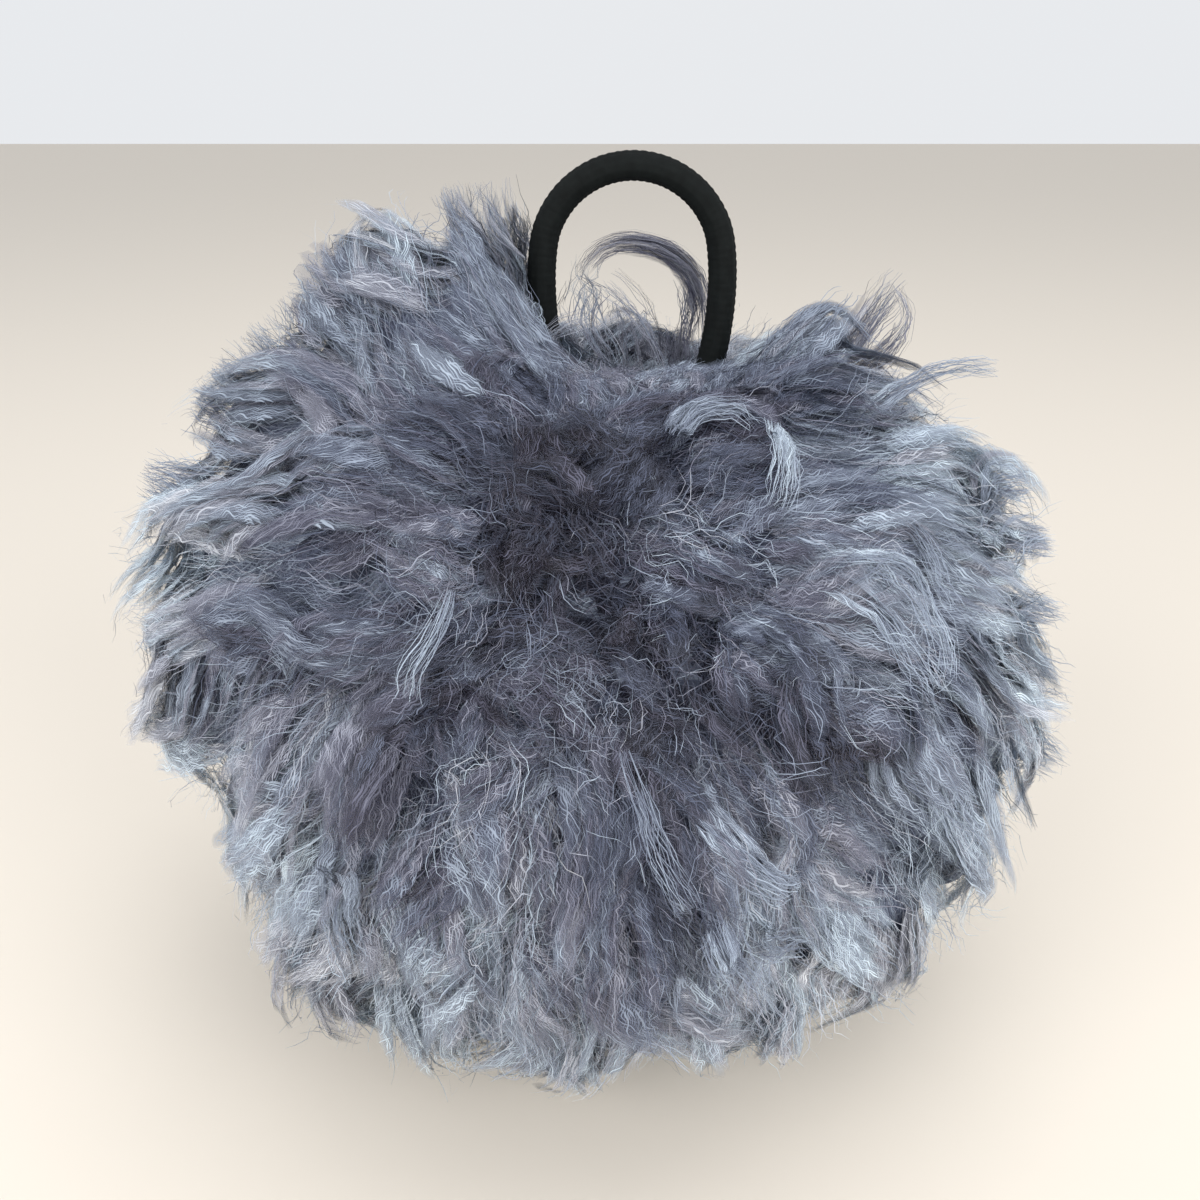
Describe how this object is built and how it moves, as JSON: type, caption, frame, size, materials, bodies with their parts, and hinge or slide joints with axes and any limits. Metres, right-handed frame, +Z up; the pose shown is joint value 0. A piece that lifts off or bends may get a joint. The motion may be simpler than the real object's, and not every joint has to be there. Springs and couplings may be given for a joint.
{
  "type": "fur pom pom with an elastic loop",
  "caption": "Ball of long slate-grey wool pile with a loop of black round elastic cord on its crown, for fastening to a hat, bag or key ring.",
  "frame": {"origin": "bottom centre of the ball of pile, on the surface that it rests on", "axes": "+Z up through the crown and the loop, +X to the right across the ball's widest part, -Y to the front, where the locks part"},
  "size_m": [0.1216, 0.1174, 0.1187],
  "materials": {
    "fur": "long crimped slate-grey wool pile in clinging locks, silvery where it catches the light",
    "elastic": "matte black braided cover over a rubber core"
  },
  "bodies": {
    "root": {"fur_ball": "fur", "elastic_loop": "elastic"}
  },
  "joints": []
}
